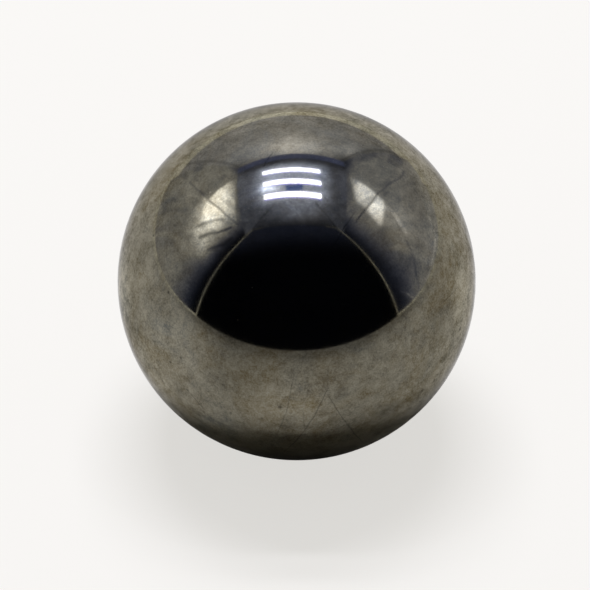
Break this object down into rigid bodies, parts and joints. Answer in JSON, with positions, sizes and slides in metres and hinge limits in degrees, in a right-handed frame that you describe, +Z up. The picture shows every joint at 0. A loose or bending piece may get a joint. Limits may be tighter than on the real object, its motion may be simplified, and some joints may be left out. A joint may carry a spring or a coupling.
{
  "type": "steel ball",
  "caption": "Solid polished steel ball, a true sphere that rolls, bears on a seat or serves as a small weight, with a dark mirror finish dulled by light tarnish.",
  "frame": {"origin": "centre of the ball", "axes": "+Z up; a ball has no direction of its own, so +X and +Y are free, with -Y taken as the side that faces the picture's camera"},
  "size_m": [0.0254, 0.0254, 0.0254],
  "materials": {
    "polished_steel": "polished"
  },
  "bodies": {
    "root": {"steel_ball": "polished_steel"}
  },
  "joints": []
}
